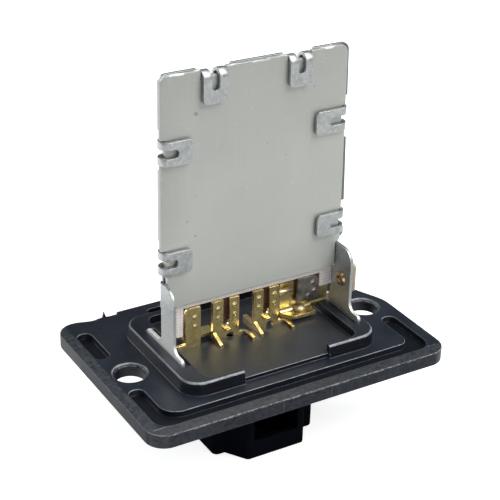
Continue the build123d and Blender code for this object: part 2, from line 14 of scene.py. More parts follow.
import bmesh
import bpy
from mathutils import Matrix, Vector
from mathutils.bvhtree import BVHTree

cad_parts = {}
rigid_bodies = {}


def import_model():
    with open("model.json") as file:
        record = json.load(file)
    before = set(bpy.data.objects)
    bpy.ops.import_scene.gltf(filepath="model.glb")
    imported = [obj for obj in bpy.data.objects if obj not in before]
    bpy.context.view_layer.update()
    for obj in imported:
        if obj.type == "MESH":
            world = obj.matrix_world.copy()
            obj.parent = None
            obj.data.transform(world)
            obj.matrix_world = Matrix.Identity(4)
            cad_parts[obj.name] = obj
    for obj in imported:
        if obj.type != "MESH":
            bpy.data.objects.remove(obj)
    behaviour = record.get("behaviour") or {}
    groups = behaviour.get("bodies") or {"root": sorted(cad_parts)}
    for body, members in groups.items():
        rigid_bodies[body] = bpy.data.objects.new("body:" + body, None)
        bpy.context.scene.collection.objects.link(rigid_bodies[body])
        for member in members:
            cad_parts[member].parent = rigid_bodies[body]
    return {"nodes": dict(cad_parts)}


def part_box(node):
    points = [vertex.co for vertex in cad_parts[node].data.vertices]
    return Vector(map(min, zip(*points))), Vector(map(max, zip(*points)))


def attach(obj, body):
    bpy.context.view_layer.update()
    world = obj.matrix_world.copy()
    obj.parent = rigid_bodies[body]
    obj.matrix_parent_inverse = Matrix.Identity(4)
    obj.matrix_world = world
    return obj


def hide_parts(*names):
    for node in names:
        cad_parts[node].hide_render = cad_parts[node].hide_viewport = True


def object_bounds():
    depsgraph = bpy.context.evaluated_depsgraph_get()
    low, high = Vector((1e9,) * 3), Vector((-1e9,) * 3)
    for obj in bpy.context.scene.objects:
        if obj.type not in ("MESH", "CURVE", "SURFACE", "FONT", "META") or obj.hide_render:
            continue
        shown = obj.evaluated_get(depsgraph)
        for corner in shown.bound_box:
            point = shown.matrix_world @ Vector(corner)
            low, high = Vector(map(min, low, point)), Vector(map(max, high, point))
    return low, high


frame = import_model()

cad_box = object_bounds()
nodes = frame["nodes"]
print("nodes:", sorted(nodes))
print("CAD box:", cad_box)

# %% [markdown]
# ## Camera
#
# The edges of the flange and its two screw holes fix where the camera stood: a long lens, turned a
# little to the left of the part and looking down at it. A Track To constraint could aim the camera,
# but it can't give the small roll. A camera matrix has the picture's right, its up and the way back
# to the photographer as its three columns, so the three are worked out from two angles and the
# roll, and the camera is put at its distance along the third.

# %% Camera angles
MM = 0.001
AZIMUTH = math.radians(-31.32)
ELEVATION = math.radians(27.448)
ROLL = math.radians(1.572)

level = math.cos(ELEVATION)
back = Vector((math.sin(AZIMUTH) * level, -math.cos(AZIMUTH) * level, math.sin(ELEVATION)))
right = Vector((math.cos(AZIMUTH), math.sin(AZIMUTH), 0.0))
up = back.cross(right)
rolled_right = right * math.cos(ROLL) + up * math.sin(ROLL)
rolled_up = up * math.cos(ROLL) - right * math.sin(ROLL)
print("way back to the camera:", [round(v, 3) for v in back])

# %% Camera
DISTANCE = 299.495 * MM
MOVED_RIGHT = -0.810 * MM
MOVED_UP = 18.516 * MM
LENS = 102.15
SENSOR = 36.0

camera_data = bpy.data.cameras.new("studio_camera")
camera_data.lens = LENS
camera_data.sensor_width = SENSOR
camera_data.clip_start = 0.01
camera = bpy.data.objects.new("studio_camera", camera_data)
bpy.context.collection.objects.link(camera)
turned = Matrix((rolled_right, rolled_up, back)).transposed().to_4x4()
place = back * DISTANCE + right * MOVED_RIGHT + up * MOVED_UP
camera.matrix_world = Matrix.Translation(place) @ turned
bpy.context.scene.camera = camera
print("camera at", [round(v, 4) for v in camera.location])

# %% [markdown]
# ## Helpers for the finishes
#
# A finish is a small graph of nodes. It could be wired by hand in the shader editor, but the same
# few steps come back in each: a place on the part, a mask that is 1 where something shows, and a
# blend of two colours. They are written once here as functions. They read Object coordinates,
# which are metres here, so a grain of half a millimetre is written so. The colour that new_finish
# sets on the shader is the plain one, for a viewer that knows no nodes.

# %% Finish helpers
def add_node(finish, kind):
    return finish.node_tree.nodes.new("ShaderNode" + kind)


def link(finish, output, target):
    finish.node_tree.links.new(output, target)


def shader_of(finish):
    return finish.node_tree.nodes["Principled BSDF"]


def new_finish(name, colour, roughness, metallic=0.0):
    finish = bpy.data.materials.new(name)
    finish.use_nodes = True
    shader = shader_of(finish)
    shader.inputs["Base Color"].default_value = (*colour, 1.0)
    shader.inputs["Roughness"].default_value = roughness
    shader.inputs["Metallic"].default_value = metallic
    return finish


def to_shader(finish, **inputs):
    for name, output in inputs.items():
        link(finish, output, shader_of(finish).inputs[name.replace("_", " ")])


print("finish helpers ready")

# %% Numbers on the part
def along(finish, axis):
    """One Object coordinate in metres: X, Y or Z."""
    source = add_node(finish, "TexCoord")
    split = add_node(finish, "SeparateXYZ")
    link(finish, source.outputs["Object"], split.inputs[0])
    return split.outputs[axis]


def combine(finish, kind, first, second):
    """Math on two outputs, or on an output and a number."""
    maths = add_node(finish, "Math")
    maths.operation = kind
    for socket, value in zip(maths.inputs, (first, second)):
        if isinstance(value, float):
            socket.default_value = value
        else:
            link(finish, value, socket)
    return maths.outputs[0]


def scaled(finish, value, factor):
    return combine(finish, "MULTIPLY", value, factor)


def added(finish, first, second):
    return combine(finish, "ADD", first, second)


print("number helpers ready")

# %% Masks
def between(finish, value, low, high):
    """0 at low, 1 at high, and an even slope between them."""
    step = add_node(finish, "MapRange")
    step.inputs["From Min"].default_value = low
    step.inputs["From Max"].default_value = high
    link(finish, value, step.inputs["Value"])
    return step.outputs["Result"]


def both(finish, first, second):
    """Where the first mask and the second one overlap."""
    return combine(finish, "MULTIPLY", first, second)


def either(finish, first, second):
    """Where at least one of two masks shows."""
    return combine(finish, "MAXIMUM", first, second)


def opposite(finish, mask):
    return combine(finish, "SUBTRACT", 1.0, mask)


def band(finish, value, low, high, edge=0.1 * MM):
    """1 between low and high and 0 outside, over a soft edge."""
    return both(finish, between(finish, value, low, low + edge), between(finish, value, high, high - edge))


def blend(finish, amount, first, second):
    """Colour that goes from first to second as amount goes from 0 to 1."""
    mix = add_node(finish, "Mix")
    mix.data_type = "RGBA"
    for socket, value in ((mix.inputs[6], first), (mix.inputs[7], second)):
        if isinstance(value, tuple):
            socket.default_value = (*value, 1.0)
        else:
            link(finish, value, socket)
    link(finish, amount, mix.inputs[0])
    return mix.outputs[2]


print("mask helpers ready")

# %% [markdown]
# ## White floor
#
# The part was shot on white. The floor lies under the connector, where the part stands, and is
# large enough to fill the picture. More light would turn a grey floor white, but it would bleach
# the part too, so the floor adds a little light of its own, for rays from the camera and from
# mirrors alone, and the soft shadow stays. No light gets under the connector, so painted shade
# keeps the floor dark inside its footprint. What metal mirrors is brighter behind the part than in
# front of it, as beside a window, and darker close to the connector, which stands in its own shade.

# %% Floor plane
FLOOR_SIZE = 4.0
bpy.ops.mesh.primitive_plane_add(size=FLOOR_SIZE, location=(0.0, 0.0, cad_box[0][2]))
floor = bpy.context.object
floor.name = "studio_floor"
print("floor at z =", round(cad_box[0][2], 4))

# %% What the floor adds to camera and mirror rays
CAMERA_GLOW = 0.8
MIRROR_GLOW_FRONT = 0.3
MIRROR_GLOW_BACK = 0.95
FRONT_TO_BACK = (-30 * MM, 30 * MM)
OWN_SHADE = (28 * MM, 60 * MM)
FLOOR_GREY = (0.6, 0.6, 0.6)

white_floor = new_finish("white_floor", FLOOR_GREY, 1.0)
shader_of(white_floor).inputs["Specular IOR Level"].default_value = 0.0
floor_x = along(white_floor, "X")
floor_y = along(white_floor, "Y")
ray = add_node(white_floor, "LightPath")
seen = either(white_floor, ray.outputs["Is Camera Ray"], ray.outputs["Is Transmission Ray"])
behind = between(white_floor, floor_y, *FRONT_TO_BACK)
mirror_glow = added(white_floor, MIRROR_GLOW_FRONT,
                    scaled(white_floor, behind, MIRROR_GLOW_BACK - MIRROR_GLOW_FRONT))
squares = [combine(white_floor, "POWER", side, 2.0) for side in (floor_x, floor_y)]
away = combine(white_floor, "SQRT", added(white_floor, *squares), 0.0)
mirror_glow = both(white_floor, mirror_glow, between(white_floor, away, *OWN_SHADE))
mirrored = both(white_floor, ray.outputs["Is Glossy Ray"], mirror_glow)
glow = either(white_floor, scaled(white_floor, seen, CAMERA_GLOW), mirrored)
print("floor glow for the camera:", CAMERA_GLOW)

# %% Painted shade in the connector's footprint
SOCKET_FOOT = ((-13.2 * MM, 10.0 * MM), (-8.4 * MM, 3.6 * MM))
BAY_FOOT = ((-7.8 * MM, 4.6 * MM), (-13.0 * MM, -7.0 * MM))
FOOTPRINT_PAINTED_SHADE = (0.01, 0.01, 0.012)

paint = FLOOR_GREY
# painted shade: inside the footprint the floor loses its glow and is painted near black
for foot_x, foot_y in (SOCKET_FOOT, BAY_FOOT):
    inside = both(white_floor, band(white_floor, floor_x, *foot_x), band(white_floor, floor_y, *foot_y))
    glow = both(white_floor, glow, opposite(white_floor, inside))
    paint = blend(white_floor, inside, paint, FOOTPRINT_PAINTED_SHADE)
shader_of(white_floor).inputs["Emission Color"].default_value = (1.0, 1.0, 1.0, 1.0)
to_shader(white_floor, Emission_Strength=glow, Base_Color=paint)
floor.data.materials.append(white_floor)
print("floor finish:", len(white_floor.node_tree.nodes), "nodes")

# %% [markdown]
# ## Lamps and air
#
# The real light was even, from large soft sources. One wide lamp could give it, but then every face
# would look alike. Here one lamp stands behind at the left, a stronger one in front at the right
# and one overhead, and a weak one low in front stands for the light that a pale table throws back
# at the part. The air is dim and bluish, so that shaded faces look cool. A camera ray that passes
# beyond the floor meets plain white instead, which keeps low views free of a grey horizon.

# %% Lamps
AIM = Vector((0.0, 0.0, 0.02))


def soft_lamp(name, place, size, power):
    """A square lamp that looks at the middle of the part."""
    lamp_data = bpy.data.lights.new(name, "AREA")
    lamp_data.size = size
    lamp_data.energy = power
    lamp = bpy.data.objects.new(name, lamp_data)
    bpy.context.collection.objects.link(lamp)
    lamp.location = place
    lamp.rotation_euler = (AIM - Vector(place)).to_track_quat("-Z", "Y").to_euler()


# name, place in metres, side in metres, power in watts
LAMPS = (
    ("left_lamp", (-0.6, 0.8, 0.5), 0.6, 6.0),
    ("front_lamp", (0.45, -0.7, 0.9), 0.7, 9.2),
    ("low_fill", (-0.1, -1.0, 0.12), 0.5, 1.3),
    ("top_lamp", (0.3, -0.05, 1.1), 0.7, 6.0),
)
for lamp_facts in LAMPS:
    soft_lamp(*lamp_facts)

# %% Air and view
AIR_BLUE = (0.82, 0.91, 1.0, 1.0)
AIR_STRENGTH = 0.2

world = bpy.data.worlds.new("studio_air")
world.use_nodes = True
dim_air = world.node_tree.nodes["Background"]
dim_air.inputs["Color"].default_value = AIR_BLUE
dim_air.inputs["Strength"].default_value = AIR_STRENGTH
white_air = add_node(world, "Background")
white_air.inputs["Color"].default_value = (1.0, 1.0, 1.0, 1.0)
air = add_node(world, "MixShader")
link(world, add_node(world, "LightPath").outputs["Is Camera Ray"], air.inputs[0])
link(world, dim_air.outputs[0], air.inputs[1])
link(world, white_air.outputs[0], air.inputs[2])
link(world, air.outputs[0], world.node_tree.nodes["World Output"].inputs["Surface"])
bpy.context.scene.world = world
bpy.context.scene.view_settings.view_transform = "Standard"
print("air strength:", AIR_STRENGTH)

# %% [markdown]
# ## Black moulding
#
# The base is filled nylon: nearly black with a cold sheen, a fine grain, faint cloudy marks where
# it has been handled, and specks of dust. One dark colour would look like a hole in the picture.
# Soft noise at three real sizes gives the clouds, the grain and the dust, and it stays right at any
# distance, which a picture wrapped round the part wouldn't.

# %% Clouds of noise
def object_place(finish, stretch=(1.0, 1.0, 1.0), lean=0.0):
    """Object coordinates, leaned about Y and then drawn out by a factor along each axis."""
    source = add_node(finish, "TexCoord")
    mapping = add_node(finish, "Mapping")
    mapping.vector_type = "TEXTURE"
    mapping.inputs["Scale"].default_value = stretch
    mapping.inputs["Rotation"].default_value = (0.0, lean, 0.0)
    link(finish, source.outputs["Object"], mapping.inputs["Vector"])
    return mapping.outputs["Vector"]


def clouds(finish, size, detail=3.0, stretch=(1.0, 1.0, 1.0), lean=0.0):
    """Noise whose clouds are about `size` metres wide, from 0 to 1."""
    noise = add_node(finish, "TexNoise")
    noise.inputs["Scale"].default_value = 1.0 / size
    noise.inputs["Detail"].default_value = detail
    link(finish, object_place(finish, stretch, lean), noise.inputs["Vector"])
    return noise.outputs["Fac"]


print("clouds ready")

# %% Moulding body
NYLON_DEEP = (0.007, 0.0098, 0.0175)
NYLON_HANDLED = (0.018, 0.0225, 0.033)
DUST_GREY = (0.2, 0.205, 0.2)
MIRROR_LEVEL = 0.4

moulding = new_finish("moulding", (0.014, 0.017, 0.024), 0.42)
shader_of(moulding).inputs["Specular IOR Level"].default_value = MIRROR_LEVEL
handled = between(moulding, clouds(moulding, 9 * MM, 4.0), 0.35, 0.75)
grain = clouds(moulding, 0.35 * MM, 2.0)
dust = between(moulding, clouds(moulding, 0.45 * MM, 2.0), 0.71, 0.76)
tone = blend(moulding, handled, NYLON_DEEP, NYLON_HANDLED)
tone = blend(moulding, scaled(moulding, dust, 0.7), tone, DUST_GREY)
print("moulding body:", len(moulding.node_tree.nodes), "nodes")

# %% [markdown]
# ## Scuffs, dust and painted shade of the moulding
#
# The border outside the sealing groove is scuffed, because that is where the part is held and
# stacked, and dust lies on the recessed floor. The groove, the front wall of the rim and all of the
# connector get little light, and the real ones look deeper black than lamps alone make them, so
# painted shade darkens them here. These places could be painted by hand. Masks from a height, a
# place and the way a face looks do the same and need no texture.

# %% The way a face looks
LOOKS_ALONG = (0.6, 0.9)


def turned_to(finish, axis):
    """How far the surface looks along an axis of the object, from -1 to 1."""
    true = add_node(finish, "NewGeometry")
    split = add_node(finish, "SeparateXYZ")
    link(finish, true.outputs["Normal"], split.inputs[0])
    return split.outputs[axis]


def facing(finish, axis):
    """1 where the surface looks along an axis of the object, either way."""
    size = combine(finish, "ABSOLUTE", turned_to(finish, axis), 0.0)
    return between(finish, size, *LOOKS_ALONG)


print("facing ready")

# %% Scuffed border
BORDER_FRONT = (-20.7 * MM, -20.9 * MM)
BORDER_LEFT = (-32.5 * MM, -32.8 * MM)
SCUFF_GREY = (0.08, 0.083, 0.084)

place_x = along(moulding, "X")
place_y = along(moulding, "Y")
height = along(moulding, "Z")
border = either(moulding, between(moulding, place_y, *BORDER_FRONT),
                between(moulding, place_x, *BORDER_LEFT))
worn = between(moulding, clouds(moulding, 0.6 * MM, 5.0, (1.6, 1.6, 1.0)), 0.3, 0.75)
sides = either(moulding, facing(moulding, "X"), facing(moulding, "Y"))
scuffs = both(moulding, border, worn)
scuffs = combine(moulding, "SUBTRACT", scuffs, scaled(moulding, both(moulding, scuffs, sides), 0.5))
tone = blend(moulding, scaled(moulding, scuffs, 0.8), tone, SCUFF_GREY)
print("border scuffed from y =", round(BORDER_FRONT[0] / MM, 1), "mm")

# %% Dusty floor
FLOOR_HEIGHTS = (0.8 * MM, 1.0 * MM)
THIN_EDGE = 0.02 * MM
FLOOR_DUST = (0.05, 0.052, 0.052)

on_floor = band(moulding, height, *FLOOR_HEIGHTS, THIN_EDGE)
tone = blend(moulding, scaled(moulding, on_floor, 0.4), tone, FLOOR_DUST)
print("dust laid on the recessed floor")

# %% Painted shade in dark places
UNDER_FLANGE = (-3.5 * MM, -4.5 * MM)
GROOVE_BOTTOM = (-1.6 * MM, -1.1 * MM)
LATCH_SIDE = (0.0, -5 * MM)
RIM_WALL = (0.02 * MM, 2.5 * MM)
PAINTED_SHADE_BLACK = (0.001, 0.0014, 0.004)

in_groove = both(moulding, opposite(moulding, sides), band(moulding, height, *GROOVE_BOTTOM))
rim_wall = both(moulding, facing(moulding, "Y"), between(moulding, place_y, *LATCH_SIDE))
rim_wall = both(moulding, rim_wall, band(moulding, height, *RIM_WALL))
shaded = either(moulding, scaled(moulding, in_groove, 0.7), scaled(moulding, rim_wall, 0.6))
dark = either(moulding, between(moulding, height, *UNDER_FLANGE), shaded)
# painted shade: the groove floor, the front wall of the rim and the connector are painted near black
tone = blend(moulding, scaled(moulding, dark, 0.95), tone, PAINTED_SHADE_BLACK)
print("dark places: groove, rim wall and connector")

# %% [markdown]
# ## Rubbed edges and painted highlights on the edges
#
# Handling rubs the edges of black nylon pale, and a painted highlight is laid on them too. On a
# sharp edge a Bevel node finds the place: its rounded normal turns away from the true one. The long
# top edges are really rounded here, and there the two normals agree, so their painted highlight is
# found another way. It lies where the surface tilts between upright and flat, at the heights of the
# flange, the rim and the sill. It is strongest where the edge looks to the front, and noise breaks
# it into patches and flecks.

# %% Rubbed edges with painted highlight
RUBBED_AND_HIGHLIT_GREY = (0.3, 0.31, 0.315)
BEVEL_SAMPLES = 6
NORMALS_AGREE = 0.995
NORMALS_PART = 0.88


def edge_mask(finish, radius):
    """1 near an edge and 0 on a flat: how far a rounded normal turns from the true one."""
    soft = add_node(finish, "Bevel")
    soft.samples = BEVEL_SAMPLES
    soft.inputs["Radius"].default_value = radius
    true = add_node(finish, "NewGeometry")
    turn = add_node(finish, "VectorMath")
    turn.operation = "DOT_PRODUCT"
    link(finish, soft.outputs["Normal"], turn.inputs[0])
    link(finish, true.outputs["Normal"], turn.inputs[1])
    return between(finish, turn.outputs["Value"], NORMALS_AGREE, NORMALS_PART)


rubbed_and_highlit = between(moulding, clouds(moulding, 0.7 * MM, 4.0), 0.3, 0.65)
rubbed_and_highlit = both(moulding, edge_mask(moulding, 0.3 * MM), rubbed_and_highlit)
rubbed_and_highlit = both(moulding, rubbed_and_highlit, opposite(moulding, dark))
# partly rubbed wear and partly painted highlight: the sharp edges are painted pale grey
tone = blend(moulding, scaled(moulding, rubbed_and_highlit, 0.8), tone, RUBBED_AND_HIGHLIT_GREY)
print("sharp edges rubbed")

# %% Where the top edges are
FLANGE_EDGE = (-0.3 * MM, 0.02 * MM)
RIM_EDGE = (2.35 * MM, 2.9 * MM)
SILL_EDGE = (0.65 * MM, 0.95 * MM)
TILT = (0.2, 0.985)
TILT_FADE = 0.1

edge_bands = [band(moulding, height, *heights, THIN_EDGE) for heights in (FLANGE_EDGE, RIM_EDGE, SILL_EDGE)]
top_edges = either(moulding, either(moulding, edge_bands[0], edge_bands[1]), edge_bands[2])
tilted = band(moulding, turned_to(moulding, "Z"), *TILT, TILT_FADE)
top_edges = both(moulding, top_edges, tilted)
print("top edges:", len(edge_bands), "bands of height")

# %% Painted highlight on the top edges
LOOKS_FORWARD = (-0.15, -0.5)
AT_FRONT = (-23.1 * MM, -23.2 * MM)
PAINTED_HIGHLIGHT_GREY = (0.42, 0.44, 0.45)

to_front = between(moulding, turned_to(moulding, "Y"), *LOOKS_FORWARD)
painted_highlight = added(moulding, scaled(moulding, to_front, 0.65), 0.2)
patchy = between(moulding, clouds(moulding, 1.1 * MM, 3.0), 0.1, 0.6)
painted_highlight = both(moulding, painted_highlight, patchy)
flecks = between(moulding, clouds(moulding, 0.32 * MM, 3.0, (2.4, 1.0, 1.0)), 0.45, 0.6)
gaps = both(moulding, between(moulding, place_y, *AT_FRONT), opposite(moulding, flecks))
lost = scaled(moulding, both(moulding, painted_highlight, gaps), 0.8)
painted_highlight = combine(moulding, "SUBTRACT", painted_highlight, lost)
# painted highlight on the top edges, strongest where they look to the front
tone = blend(moulding, both(moulding, top_edges, painted_highlight), tone, PAINTED_HIGHLIGHT_GREY)
print("top edges polished")

# %% Flecks along the front border
GROOVE_LIP = (-20.75 * MM, -20.4 * MM)
FRONT_LIP = (-23.6 * MM, -23.25 * MM)
NEAR_TOP = (-0.35 * MM, 0.2 * MM)
FLECK_GREY = (0.3, 0.3, 0.29)

dashes = either(moulding, band(moulding, place_y, *GROOVE_LIP), band(moulding, place_y, *FRONT_LIP))
dashes = both(moulding, both(moulding, dashes, band(moulding, height, *NEAR_TOP)), flecks)
tone = blend(moulding, scaled(moulding, dashes, 0.75), tone, FLECK_GREY)
print("front border flecked")

# %% [markdown]
# ## Marks left by the mould
#
# Two faint upright lines cross the front of the flange, where inserts of the mould met. They could
# be fine grooves in the mesh, but they are too shallow to feel, so they are a little paler colour in
# two narrow bands. The whole colour of the moulding is then done and goes to its shader.

# %% Mould lines
SEAM_LINES = (4.87 * MM, -6.4 * MM)
SEAM_HALF_WIDTH = 0.16 * MM
FRONT_FACE = (-23.2 * MM, -23.4 * MM)
SEAM_GREY = (0.16, 0.165, 0.165)

on_front = between(moulding, place_y, *FRONT_FACE)
for seam_x in SEAM_LINES:
    seam = band(moulding, place_x, seam_x - SEAM_HALF_WIDTH, seam_x + SEAM_HALF_WIDTH)
    tone = blend(moulding, scaled(moulding, both(moulding, seam, on_front), 0.28), tone, SEAM_GREY)
to_shader(moulding, Base_Color=tone)
print("mould lines:", len(SEAM_LINES))

# %% [markdown]
# ## Gloss and relief of the moulding
#
# Handled and scuffed nylon is a little duller, and its grain can be seen where light grazes it. Real
# dents would need a very fine mesh, so Bump nodes shade the surface as if they were there, each with
# a real depth. The places of painted shade mirror less, as if the light that reaches them were
# swallowed, and so do the front and left sides of the flange. That differs from place to place, so
# it is linked.

# %% Relief of the moulding
GRAIN_DEPTH = 0.015 * MM
SCUFF_DEPTH = 0.02 * MM


def relief(finish, height, depth, under=None):
    """Bump of a real depth in metres, laid over another one if it is given."""
    bump = add_node(finish, "Bump")
    bump.inputs["Strength"].default_value = 1.0
    bump.inputs["Distance"].default_value = depth
    link(finish, height, bump.inputs["Height"])
    if under is not None:
        link(finish, under, bump.inputs["Normal"])
    return bump.outputs["Normal"]


scuffed = relief(moulding, scuffs, SCUFF_DEPTH)
to_shader(moulding, Normal=relief(moulding, grain, GRAIN_DEPTH, scuffed))
print("moulding relief done")

# %% Gloss of the moulding
FRONT_SIDE = (-23.3 * MM, -23.45 * MM)
LEFT_SIDE = (-34.6 * MM, -34.8 * MM)
LEAST_MIRROR = 0.04

sheen = scaled(moulding, added(moulding, handled, scuffs), 0.14)
gloss = either(moulding, added(moulding, sheen, 0.34), scaled(moulding, dark, 0.75))
rim_of_flange = either(moulding, between(moulding, place_y, *FRONT_SIDE),
                       between(moulding, place_x, *LEFT_SIDE))
mirror = combine(moulding, "SUBTRACT", MIRROR_LEVEL, scaled(moulding, dark, 0.34))
mirror = combine(moulding, "SUBTRACT", mirror, scaled(moulding, rim_of_flange, 0.25))
mirror = either(moulding, mirror, LEAST_MIRROR)
to_shader(moulding, Roughness=gloss, Specular_IOR_Level=mirror)
print("moulding done:", len(moulding.node_tree.nodes), "nodes")

# %% [markdown]
# ## Front plate
#
# The front plate is rolled aluminium with a dull, slightly green coating. Faint streaks run up it,
# and a few dark specks, nicks and hair scratches sit on it. Painted shade darkens it towards its left
# edge and its top, and painted light makes it paler at its foot. An even grey would look like card.
# Noise drawn out thirty times upwards makes the streaks, leaned noise makes the scratches, and the
# four specks that stand out have places of their own.

# %% Front plate body
COATING = (0.5, 0.51, 0.465)
COATING_PALE = (0.55, 0.56, 0.51)
STREAK_PALE = (0.62, 0.63, 0.58)
FINE_DARK = (0.3, 0.31, 0.28)

sheet = new_finish("sheet_aluminium", (0.56, 0.58, 0.54), 0.5, 0.4)
streaks = clouds(sheet, 0.5 * MM, 3.0, (1.0, 1.0, 30.0))
cloudy = between(sheet, clouds(sheet, 16 * MM, 3.0), 0.3, 0.7)
fine = clouds(sheet, 0.25 * MM, 2.0)
tone = blend(sheet, cloudy, COATING, COATING_PALE)
tone = blend(sheet, scaled(sheet, between(sheet, streaks, 0.4, 0.7), 0.16), tone, STREAK_PALE)
tone = blend(sheet, scaled(sheet, fine, 0.16), tone, FINE_DARK)
print("front plate body done")

# %% Painted shade and light across the front plate
PAINTED_SHADE_TO_LEFT_EDGE = (-15 * MM, -21.5 * MM)
PAINTED_SHADE_TO_TOP = (38 * MM, 60 * MM)
PAINTED_LIGHT_TO_FOOT = (34 * MM, 14 * MM)

sheet_x = along(sheet, "X")
sheet_z = along(sheet, "Z")
# painted shade towards the left edge and the top, painted light towards the foot
for across, ends, strength, colour in (
    (sheet_x, PAINTED_SHADE_TO_LEFT_EDGE, 0.3, (0.3, 0.31, 0.29)),
    (sheet_z, PAINTED_SHADE_TO_TOP, 0.4, (0.34, 0.35, 0.325)),
    (sheet_z, PAINTED_LIGHT_TO_FOOT, 0.45, (0.7, 0.71, 0.67)),
):
    tone = blend(sheet, scaled(sheet, between(sheet, across, *ends), strength), tone, colour)
print("front plate shaded to its left, top and foot")

# %% Specks of the front plate
# x, z and radius of each, in millimetres
SPECK_PLACES = ((-13.3, 52.9, 0.5), (-15.1, 30.4, 0.26), (-13.3, 26.9, 0.28), (13.35, 53.9, 0.24))
SPECK_BROWN = (0.19, 0.155, 0.1)


def spot(finish, x, z, radius):
    """1 inside a small round mark at one place of an upright sheet."""
    beside = combine(finish, "SUBTRACT", along(finish, "X"), x)
    above = combine(finish, "SUBTRACT", along(finish, "Z"), z)
    reach = added(finish, both(finish, beside, beside), both(finish, above, above))
    return between(finish, reach, radius ** 2, 0.15 * radius ** 2)


specks = between(sheet, clouds(sheet, 0.8 * MM, 1.0), 0.77, 0.8)
for speck_x, speck_z, radius in SPECK_PLACES:
    specks = either(sheet, specks, spot(sheet, speck_x * MM, speck_z * MM, radius * MM))
ragged = between(sheet, clouds(sheet, 0.3 * MM, 3.0), 0.3, 0.5)
tone = blend(sheet, scaled(sheet, both(sheet, specks, ragged), 0.8), tone, SPECK_BROWN)
print("placed specks:", len(SPECK_PLACES))

# %% Scratches and nicks of the front plate
# lean in radians, size in millimetres, and the height of noise where a hair starts
HAIRS = ((0.6, 0.3, 0.72), (-1.0, 0.26, 0.72), (1.9, 0.22, 0.73))
HAIR_FADE = 0.06
HAIR_STRETCH = (1.0, 1.0, 14.0)
HAIR_PALE = (0.74, 0.75, 0.71)
NICK_PALE = (0.8, 0.81, 0.78)

for lean, size, rare in HAIRS:
    hair = between(sheet, clouds(sheet, size * MM, 1.0, HAIR_STRETCH, lean), rare, rare + HAIR_FADE)
    tone = blend(sheet, scaled(sheet, hair, 0.22), tone, HAIR_PALE)
nicks = between(sheet, clouds(sheet, 0.55 * MM, 2.0), 0.72, 0.77)
tone = blend(sheet, scaled(sheet, nicks, 0.4), tone, NICK_PALE)
print("hair scratches:", len(HAIRS), "directions")

# %% Bright edges of the front plate
TOP_EDGE = (61.1 * MM, 61.25 * MM)
BARE_METAL = (0.85, 0.86, 0.83)

chips = between(sheet, clouds(sheet, 0.9 * MM, 3.0, (3.5, 1.0, 1.0)), 0.53, 0.58)
chips = both(sheet, between(sheet, sheet_z, *TOP_EDGE), chips)
tone = blend(sheet, scaled(sheet, chips, 0.95), tone, (1.0, 1.0, 1.0))
rim_line = both(sheet, edge_mask(sheet, 0.3 * MM), between(sheet, fine, 0.4, 0.6))
tone = blend(sheet, scaled(sheet, rim_line, 0.5), tone, BARE_METAL)
matt = added(sheet, scaled(sheet, streaks, 0.12), 0.4)
to_shader(sheet, Base_Color=tone, Roughness=matt, Normal=relief(sheet, streaks, 0.002 * MM))
print("front plate done:", len(sheet.node_tree.nodes), "nodes")

# %% [markdown]
# ## Zinc plating
#
# The back plate with its tabs and ears is zinc-plated steel: brighter and bluer than the front
# plate, with soft mottling, thin flaked spots and a paler sheared edge. A clean metal shader would
# look like a mirror, so noise changes both its colour and its gloss. The set-back strip at the
# right lies in the shade of the plates in front of it and looks darker. Towards the feet the plating
# is rougher, where the sheet was bent and pushed into the base, and painted light makes it paler.

# %% Zinc body
ZINC_DARK = (0.31, 0.325, 0.325)
ZINC_PALE = (0.5, 0.52, 0.515)
SPANGLE_PALE = (0.6, 0.61, 0.61)
SHEARED_PALE = (0.82, 0.83, 0.83)
FLAKE_PALE = (0.62, 0.64, 0.64)

zinc = new_finish("zinc_plating", (0.56, 0.59, 0.61), 0.3, 1.0)
mottle = clouds(zinc, 0.7 * MM, 4.0)
spangle = clouds(zinc, 3 * MM, 3.0)
tone = blend(zinc, between(zinc, mottle, 0.3, 0.7), ZINC_DARK, ZINC_PALE)
tone = blend(zinc, scaled(zinc, spangle, 0.22), tone, SPANGLE_PALE)
tone = blend(zinc, scaled(zinc, edge_mask(zinc, 0.22 * MM), 0.7), tone, SHEARED_PALE)
flaked = between(zinc, clouds(zinc, 0.5 * MM, 3.0, (1.0, 1.0, 1.8)), 0.5, 0.62)
tone = blend(zinc, scaled(zinc, flaked, 0.3), tone, FLAKE_PALE)
print("zinc body done")

# %% Shaded strip of the back plate
STRIP_FROM_X = (18.5 * MM, 19.0 * MM)
STRIP_FROM_Z = (15 * MM, 16 * MM)
STRIP_LOOKS = (-0.5, -0.8)
STRIP_DARK = (0.11, 0.13, 0.135)

back_sheet_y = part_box("rear_insulation")[1].y
zinc_z = along(zinc, "Z")
shade = both(zinc, between(zinc, turned_to(zinc, "Y"), *STRIP_LOOKS),
             between(zinc, along(zinc, "Y"), back_sheet_y - 0.15 * MM, back_sheet_y - 0.05 * MM))
shade = both(zinc, shade, between(zinc, along(zinc, "X"), *STRIP_FROM_X))
shade = both(zinc, shade, between(zinc, zinc_z, *STRIP_FROM_Z))
tone = blend(zinc, scaled(zinc, shade, 0.8), tone, STRIP_DARK)
print("strip shaded at y =", round(back_sheet_y, 5))

# %% Painted light at the feet, and gloss of the zinc
TO_FEET = (13 * MM, 4 * MM)
FEET_PAINTED_LIGHT = (0.95, 0.95, 0.92)

at_feet = between(zinc, zinc_z, *TO_FEET)
# painted light: the zinc is painted paler towards the feet
tone = blend(zinc, scaled(zinc, at_feet, 0.85), tone, FEET_PAINTED_LIGHT)
dull = added(zinc, scaled(zinc, mottle, 0.3), scaled(zinc, at_feet, 0.2))
dull = added(zinc, dull, 0.3)
to_shader(zinc, Base_Color=tone, Roughness=dull, Normal=relief(zinc, mottle, 0.008 * MM))
print("zinc done:", len(zinc.node_tree.nodes), "nodes")

